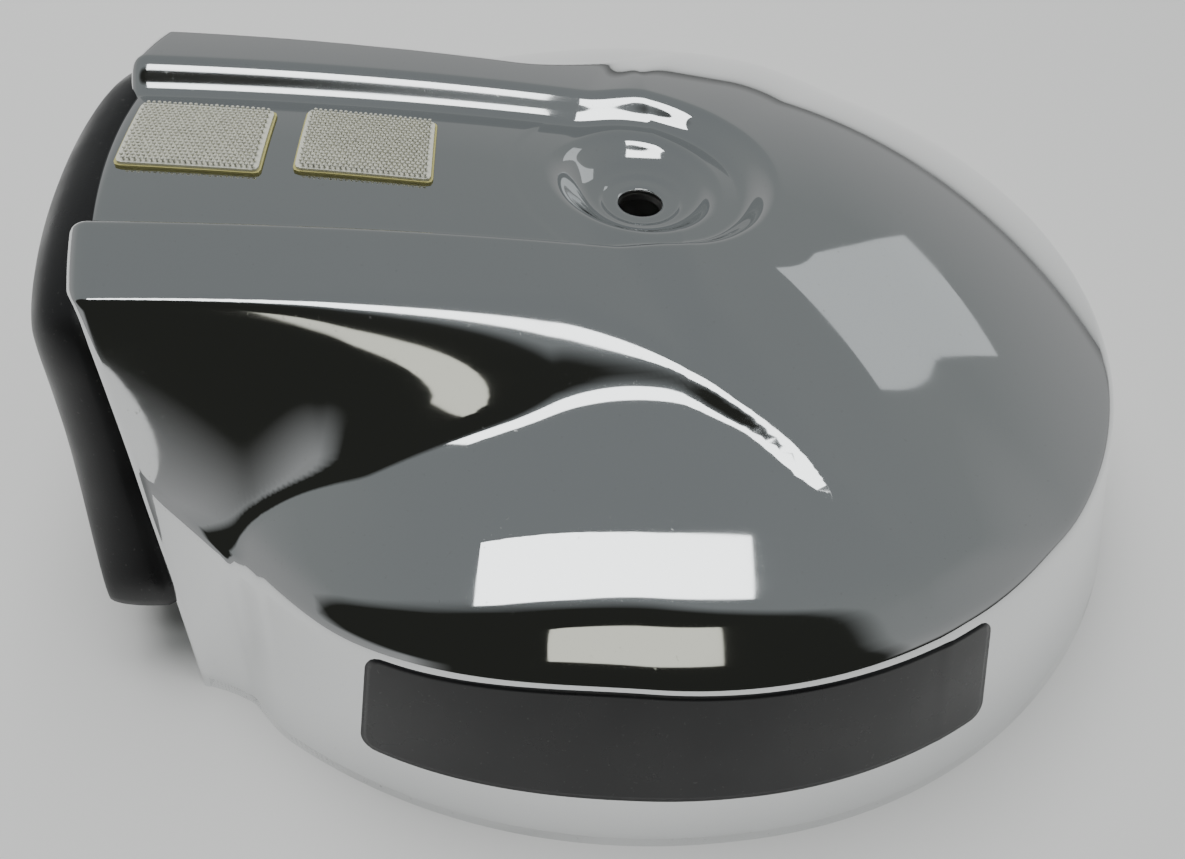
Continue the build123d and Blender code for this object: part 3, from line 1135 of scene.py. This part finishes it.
@dataclass
class FasteningPad:
    """Stick-on strip with a field of mushroom-headed stems, in millimetres."""

    name: str
    centre_x: float
    centre_y: float = 4.0
    length: float = 22.0
    width: float = 18.5
    turn: float = -3.0
    corner: float = 1.0
    points: Tuple[int, int] = (23, 19)
    gap: float = 0.02
    adhesive: float = 0.4
    adhesive_spread: float = 0.35
    base: float = 0.4
    stem: float = 0.8
    stem_form: StemForm = StemForm()
    pitch: float = 0.86
    bare_ends: float = 1.5
    bare_sides: float = 1.2
    seed: int = 5
    form: CoverForm = field(default_factory=CoverForm)

    def spot(self, u: Grid, v: Grid, lift: float) -> Grid:
        """Points on the channel floor under the pad.

        Args:
            u: Place along the pad in mm from its middle.
            v: Place across the pad in mm from its middle.
            lift: Height above the floor in mm.

        Returns:
            Points as N x 3.
        """
        a = math.radians(self.turn)
        x = self.centre_x + u * math.cos(a) - v * math.sin(a)
        y = self.centre_y + u * math.sin(a) + v * math.cos(a)
        z = self.form.crown(x, y) - self.form.channel_depth + lift
        return np.stack([x.ravel(), y.ravel(), z.ravel()], 1)

    def layer(self, node: str, low: float, high: float, spread: float, coating: Coating,
              shop: FinishShop) -> None:
        """Make one thin layer of the strip with slightly rounded corners.

        Args:
            node: Node that it takes the place of.
            low: Underside above the floor in mm.
            high: Top above the floor in mm.
            spread: How far it runs past the nominal outline in mm.
            coating: Its finish.
            shop: Where materials come from.
        """
        u, v = rounded_lattice(*self.points, self.length + 2 * spread, self.width + 2 * spread, self.corner)
        verts = np.concatenate([self.spot(u, v, high), self.spot(u, v, low)])
        obj = mesh_object(node + "_layer", verts, sheet_faces(*self.points, flip=True), shop.get(coating),
                          smooth=False)
        turn_outwards(obj)
        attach(obj, "root")
        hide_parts(node)

    def stem_tree(self) -> bpy.types.NodeTree:
        """Node tree that puts a headed stem on every vertex of its input.

        Returns:
            A tree with inputs for the stem's sizes, a seed and the material.
        """
        form = self.stem_form
        tree = bpy.data.node_groups.new("stem_field", "GeometryNodeTree")
        for name, kind in (("Geometry", "Geometry"), ("Stem height", "Float"), ("Stem radius", "Float"),
                           ("Head radius", "Float"), ("Seed", "Int"), ("Material", "Material")):
            tree.interface.new_socket(name=name, in_out="INPUT", socket_type="NodeSocket" + kind)
        tree.interface.new_socket(name="Geometry", in_out="OUTPUT", socket_type="NodeSocketGeometry")
        given = tree.nodes.new("NodeGroupInput").outputs
        result = tree.nodes.new("NodeGroupOutput").inputs
        post = tree.nodes.new("GeometryNodeMeshCylinder")
        post.inputs["Vertices"].default_value = form.sides
        feed(tree, post.inputs["Radius"], given["Stem radius"])
        feed(tree, post.inputs["Depth"], given["Stem height"])
        head = tree.nodes.new("GeometryNodeMeshIcoSphere")
        head.inputs["Subdivisions"].default_value = 1
        feed(tree, head.inputs["Radius"], given["Head radius"])
        lift = tree.nodes.new("ShaderNodeCombineXYZ")
        feed(tree, lift.inputs["Z"], maths(tree, "MULTIPLY", given["Stem height"], form.head_share))
        squash = tree.nodes.new("GeometryNodeTransform")
        squash.inputs["Scale"].default_value = (1.0, 1.0, form.head_squash)
        feed(tree, squash.inputs["Geometry"], head.outputs["Mesh"])
        feed(tree, squash.inputs["Translation"], lift.outputs[0])
        join = tree.nodes.new("GeometryNodeJoinGeometry")
        feed(tree, join.inputs[0], post.outputs["Mesh"])
        feed(tree, join.inputs[0], squash.outputs["Geometry"])
        tilt = tree.nodes.new("FunctionNodeRandomValue")
        tilt.data_type = "FLOAT_VECTOR"
        tilt.inputs["Min"].default_value = (-form.tilt, -form.tilt, 0.0)
        tilt.inputs["Max"].default_value = (form.tilt, form.tilt, form.full_turn)
        feed(tree, tilt.inputs["Seed"], given["Seed"])
        size = tree.nodes.new("FunctionNodeRandomValue")
        size.inputs[2].default_value, size.inputs[3].default_value = form.sizes
        feed(tree, size.inputs["Seed"], given["Seed"])
        put = tree.nodes.new("GeometryNodeInstanceOnPoints")
        feed(tree, put.inputs["Points"], given["Geometry"])
        feed(tree, put.inputs["Instance"], join.outputs[0])
        feed(tree, put.inputs["Rotation"], tilt.outputs[0])
        feed(tree, put.inputs["Scale"], size.outputs[1])
        real = tree.nodes.new("GeometryNodeRealizeInstances")
        feed(tree, real.inputs[0], put.outputs[0])
        dress = tree.nodes.new("GeometryNodeSetMaterial")
        feed(tree, dress.inputs["Geometry"], real.outputs[0])
        feed(tree, dress.inputs["Material"], given["Material"])
        feed(tree, result["Geometry"], dress.outputs[0])
        return tree

    def stem_feet(self) -> Grid:
        """Middles of the stems, every other row half a pitch along.

        Returns:
            Points as N x 3.
        """
        nu = int((self.length - self.bare_ends) / self.pitch)
        nv = int((self.width - self.bare_sides) / self.pitch)
        i, j = np.meshgrid(np.arange(nu + 1), np.arange(nv + 1), indexing="ij")
        u = (i - nu / 2 + 0.25 * (1 - 2 * (j % 2))) * self.pitch
        v = (j - nv / 2) * self.pitch
        return self.spot(u, v, self.adhesive + self.base + self.stem * self.stem_form.middle_share)

    def stems(self, shop: FinishShop) -> None:
        """Make the field of stems.

        Args:
            shop: Where the materials come from.
        """
        form = self.stem_form
        plastic = shop.get(Coating.PAD)
        obj = mesh_object("pad_stem_field_" + self.name, self.stem_feet(), [], plastic)
        tree = self.stem_tree()
        grown = obj.modifiers.new("stems", "NODES")
        grown.node_group = tree
        values = {"Stem height": self.stem * form.height_share * MM, "Stem radius": form.radius * MM,
                  "Head radius": form.head_radius * MM, "Seed": self.seed, "Material": plastic}
        for item in tree.interface.items_tree:
            if item.item_type == "SOCKET" and item.in_out == "INPUT" and item.name in values:
                grown[item.identifier] = values[item.name]
        bake_modifiers(obj)
        obj.data.polygons.foreach_set("use_smooth", [True] * len(obj.data.polygons))
        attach(obj, "root")
        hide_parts("pad_stems_" + self.name)
        log.info("pad %s: %d faces of stems", self.name, len(obj.data.polygons))

    def build(self, shop: FinishShop) -> None:
        """Make the three layers."""
        low, high = self.adhesive, self.adhesive + self.base
        self.layer("pad_adhesive_" + self.name, self.gap, low, self.adhesive_spread, Coating.ADHESIVE, shop)
        self.layer("pad_base_" + self.name, low, high, 0.0, Coating.PAD, shop)
        self.stems(shop)


@dataclass
class Label:
    """Blank black label bent round the skirt, in degrees about the body axis and millimetres."""

    start: float = 234.5
    sweep: float = 61.5
    low: float = 9.5
    high: float = 29.3
    corner: float = 2.6
    mean_r: float = 92.0
    back: float = 0.01
    lift: float = 0.16
    points: Tuple[int, int] = (97, 25)
    form: CoverForm = field(default_factory=CoverForm)

    def spot(self, turn: Grid, z: Grid, lift: float) -> Grid:
        """Points on the skirt at an angle and a height, lifted off it, as N x 3."""
        a = np.radians(turn)
        r = self.form.skirt(a, z) + lift
        return np.stack([self.form.body_x + r * np.cos(a), r * np.sin(a), z], -1).reshape(-1, 3)

    def build(self, shop: FinishShop) -> None:
        """Make the label.

        Args:
            shop: Where the materials come from.
        """
        length = math.radians(self.sweep) * self.mean_r
        along, up = rounded_lattice(*self.points, length, self.high - self.low, self.corner)
        turn = self.start + self.sweep * (along / length + 0.5)
        z = (self.low + self.high) / 2 + up
        verts = np.concatenate([self.spot(turn, z, self.lift), self.spot(turn, z, self.back)])
        faces = sheet_faces(*self.points, flip=False)
        obj = mesh_object("blank_label", verts, faces, shop.get(Coating.LABEL))
        turn_outwards(obj)
        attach(obj, "root")
        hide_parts("caution_decal")
        log.info("label: %d faces", len(obj.data.polygons))


# --------------------------------------------------------------------------
# the studio
# --------------------------------------------------------------------------
def direction(azimuth: float, elevation: float) -> Vector:
    """Unit vector from degrees: 0 along +X and anticlockwise, then up from the table."""
    a, e = math.radians(azimuth), math.radians(elevation)
    return Vector((math.cos(a) * math.cos(e), math.sin(a) * math.cos(e), math.sin(e)))


@dataclass(frozen=True)
class Panel:
    """Rectangular soft light that faces the object.

    Attributes:
        name: Light name.
        azimuth: Direction in degrees, 0 along +X, anticlockwise.
        elevation: Degrees above the table.
        size: Width and height in metres.
        power: Watts.
        color: Light colour.
        mirrored: Whether the chrome shows it.
    """

    name: str
    azimuth: float
    elevation: float
    size: Span
    power: float
    color: Color = (1.0, 1.0, 1.0)
    mirrored: bool = True

    def build(self, distance: float) -> None:
        """Make the light.

        Args:
            distance: How far it stands from the origin in metres.
        """
        way = direction(self.azimuth, self.elevation)
        light = bpy.data.lights.new(self.name, "AREA")
        light.shape = "RECTANGLE"
        light.size, light.size_y = self.size
        light.energy = self.power
        light.color = self.color
        obj = bpy.data.objects.new(self.name, light)
        obj.location = way * distance
        obj.rotation_euler = way.to_track_quat("Z", "Y").to_euler()
        obj.visible_glossy = self.mirrored
        bpy.context.scene.collection.objects.link(obj)


@dataclass
class Room:
    """Grey room with a pale far wall, and a dark side behind the viewer with a pale band at its left.

    A span gives the two values between which one part gives way to the other.
    """

    low: Color = (0.33, 0.335, 0.335)
    level: Color = (0.22, 0.235, 0.235)
    high: Color = (0.20, 0.215, 0.22)
    dark: Color = (0.022, 0.023, 0.020)
    dark_azimuth: float = -108.0
    dark_elevation: float = 4.0
    dark_edge: Span = (0.44, 0.53)
    below: Span = (0.02, -0.06)
    band_left: Span = (-0.42, -0.62)
    band_top: Span = (0.28, 0.18)

    def build(self) -> None:
        """Make the world."""
        world = bpy.data.worlds.new("room")
        bpy.context.scene.world = world
        world.use_nodes = True
        tree = world.node_tree
        way = tree.nodes.new("ShaderNodeTexCoord").outputs["Generated"]
        parts = tree.nodes.new("ShaderNodeSeparateXYZ")
        feed(tree, parts.inputs[0], way)
        x, z = parts.outputs["X"], parts.outputs["Z"]
        ramp = tree.nodes.new("ShaderNodeValToRGB")
        feed(tree, ramp.inputs["Fac"], z)
        stops = ramp.color_ramp.elements
        stops[0].position, stops[0].color = 0.0, (*self.low, 1.0)
        stops[1].position, stops[1].color = 1.0, (*self.high, 1.0)
        stops.new(0.5).color = (*self.level, 1.0)
        facing = tree.nodes.new("ShaderNodeVectorMath")
        facing.operation = "DOT_PRODUCT"
        feed(tree, facing.inputs[0], way)
        feed(tree, facing.inputs[1], tuple(direction(self.dark_azimuth, self.dark_elevation)))
        behind = remap(tree, facing.outputs["Value"], *self.dark_edge)
        darkened = maths(tree, "MAXIMUM", behind, remap(tree, z, *self.below))
        band = maths(tree, "MULTIPLY", remap(tree, x, *self.band_left), remap(tree, z, *self.band_top))
        share = maths(tree, "SUBTRACT", darkened, band, clamp=True)
        background = tree.nodes["Background"].inputs
        feed(tree, background["Color"], blend(tree, share, ramp.outputs["Color"], (*self.dark, 1.0)))
        background["Strength"].default_value = 1.0


@dataclass
class Studio:
    """Pale table, soft light and camera, in metres."""

    # camera, with its azimuth from -Y, elevation and roll in radians
    azimuth: float = -0.1780
    elevation: float = 0.8555
    distance: float = 0.16470
    focal_share: float = 0.8060675
    aim: Tuple[float, float, float] = (-0.01423, -0.03776, 0.030)
    roll: float = 0.0799
    sensor: float = 36.0
    clip_start: float = 0.005
    # table
    table_half: float = 1.5
    table_near: float = -0.23
    table_color: Color = (0.80, 0.80, 0.79)
    table_roughness: float = 0.55
    # light
    room: Room = field(default_factory=Room)
    panel_distance: float = 1.5
    panels: Tuple[Panel, ...] = (
        Panel("skylight", -95.0, 71.3, (0.92, 0.27), 2.6, (0.97, 1.0, 1.0)),
        Panel("low_window", -90.0, 37.0, (0.46, 0.26), 0.36, (1.0, 1.0, 0.86)),
        Panel("side_window", 30.0, 34.0, (0.52, 0.50), 0.32, (0.94, 0.98, 1.0)),
        Panel("room_fill", 110.0, 70.0, (1.2, 1.2), 24.0, mirrored=False),
    )

    def camera(self) -> None:
        """Set the camera at the chosen viewing angle."""
        az, el = self.azimuth, self.elevation
        back = Vector((math.sin(az) * math.cos(el), -math.cos(az) * math.cos(el), math.sin(el)))
        level = (-back).cross(Vector((0, 0, 1))).normalized()
        plumb = level.cross(-back)
        right = level * math.cos(self.roll) + plumb * math.sin(self.roll)
        up = plumb * math.cos(self.roll) - level * math.sin(self.roll)
        data = bpy.data.cameras.new("view")
        data.sensor_width = self.sensor
        data.lens = self.focal_share * self.sensor
        data.clip_start = self.clip_start
        cam = bpy.data.objects.new("view", data)
        bpy.context.scene.collection.objects.link(cam)
        axes = Matrix((right, up, back)).transposed().to_4x4()
        cam.matrix_world = Matrix.Translation(Vector(self.aim) + back * self.distance) @ axes
        bpy.context.scene.camera = cam

    def table(self) -> None:
        """Lay the white table top."""
        half, near = self.table_half, self.table_near
        mesh = bpy.data.meshes.new("table_top")
        corners = [(-half, near, 0), (half, near, 0), (half, half, 0), (-half, half, 0)]
        mesh.from_pydata(corners, [], [(0, 1, 2, 3)])
        obj = bpy.data.objects.new("table_top", mesh)
        bpy.context.scene.collection.objects.link(obj)
        white = bpy.data.materials.new("table_white")
        white.use_nodes = True
        shader = white.node_tree.nodes["Principled BSDF"].inputs
        shader["Base Color"].default_value = (*self.table_color, 1.0)
        shader["Roughness"].default_value = self.table_roughness
        mesh.materials.append(white)

    def build(self) -> None:
        """Set everything up."""
        self.camera()
        self.table()
        self.room.build()
        for panel in self.panels:
            panel.build(self.panel_distance)


def main() -> None:
    """Build the object and its studio."""
    logging.basicConfig(level=logging.INFO, format="%(message)s")
    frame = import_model()
    shop = FinishShop()
    slots = {p["node"]: p["material_slot"] for p in frame["record"]["subparts"]}
    for name, obj in frame["nodes"].items():
        obj.data.materials.clear()
        obj.data.materials.append(shop.get(Coating(slots[name])))
        log.info("kept %s", name)
    CoverShell().build(shop)
    IntakeNose().build(shop)
    FasteningPad("front", -77.5).build(shop)
    FasteningPad("rear", -49.9, seed=11).build(shop)
    Label().build(shop)
    Studio().build()


if __name__ == "__main__":
    main()
